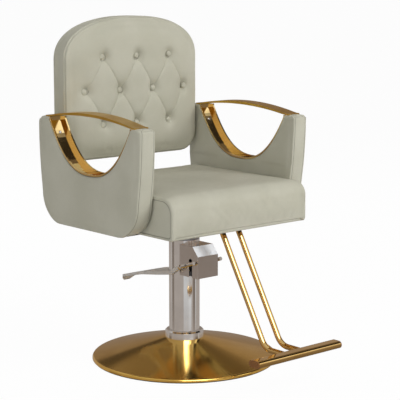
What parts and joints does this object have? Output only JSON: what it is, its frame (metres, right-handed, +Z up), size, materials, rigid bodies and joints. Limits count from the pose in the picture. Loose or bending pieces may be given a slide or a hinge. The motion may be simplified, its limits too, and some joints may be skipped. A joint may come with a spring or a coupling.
{
  "type": "barber chair",
  "caption": "Hydraulic salon chair with a round gold base, chrome pump, swivel seat, open arms, tufted back and footrest.",
  "frame": {"origin": "on the floor, on the column's axis", "axes": "+Z up along the column, -Y towards the sitter's front and the footrest, +X to the sitter's left"},
  "size_m": [0.6288, 0.7735, 0.9853],
  "materials": {
    "gold": "polished",
    "chrome": "polished",
    "cover_grey": "satin",
    "steel": "satin",
    "iron": "matte",
    "bronze": "satin",
    "rubber": "matte",
    "plywood": "matte",
    "leather": "satin"
  },
  "bodies": {
    "base": {"base_cover": "gold", "base_disc": "iron", "floor_ring": "rubber", "base_bolts": "steel", "pump_flange": "steel", "base_collar": "chrome", "pump_tube": "chrome", "pump_cylinder": "steel", "foot_valve": "bronze", "valve_ball": "steel", "tube_head": "steel", "ram_bush": "bronze", "ram_wiper": "rubber", "pump_block": "iron", "pump_cover": "cover_grey", "plunger_spring": "steel"},
    "lever": {"lever_shaft": "steel", "crank_arm": "steel", "lever_rods": "chrome", "lever_nuts": "chrome", "lever_yoke": "cover_grey"},
    "plunger": {"plunger": "steel"},
    "ram": {"ram": "chrome", "piston": "iron", "piston_seal": "rubber", "bearing_lower_race": "steel", "bearing_balls": "steel", "hub_washer": "steel", "hub_screw": "steel"},
    "seat": {"bearing_upper_race": "steel", "seat_bracket": "iron", "bracket_bolts": "steel", "cross_bars": "iron", "cross_bar_bolts": "steel", "seat_board": "plywood", "seat_cushion": "leather", "left_arm_board": "plywood", "left_arm_pad": "leather", "left_arm_trim": "gold", "left_trim_screws": "chrome", "left_handle": "gold", "right_arm_board": "plywood", "right_arm_pad": "leather", "right_arm_trim": "gold", "right_trim_screws": "chrome", "right_handle": "gold", "back_board": "plywood", "back_studs": "steel", "back_cushion": "leather", "back_buttons": "leather", "back_panel": "leather", "footrest_plate": "iron", "footrest_bolts": "steel", "left_footrest_tube": "gold", "right_footrest_tube": "gold", "foot_bar": "gold", "bar_caps": "gold"}
  },
  "joints": [
    {"name": "lift", "type": "slide", "parent": "base", "child": "ram", "axis": [0, 0, 1], "range_m": [0, 0.15]},
    {"name": "swivel", "type": "hinge", "parent": "ram", "child": "seat", "pos_m": [0, 0, 0.4093], "axis": [0, 0, 1], "continuous": true},
    {"name": "pump_lever", "type": "hinge", "parent": "base", "child": "lever", "pos_m": [0, -0.072, 0.2926], "axis": [-1, 0, 0], "range_deg": [0, 18], "stiffness_Nm_per_rad": 8, "springref_deg": -20.05},
    {"name": "pump_plunger", "type": "slide", "parent": "base", "child": "plunger", "axis": [0, 0, -1], "range_m": [0, 0.006], "deforming": ["plunger_spring"]}
  ],
  "couplings": [
    {"joint": "pump_plunger", "follows": "pump_lever", "m_per_rad": 0.018}
  ]
}
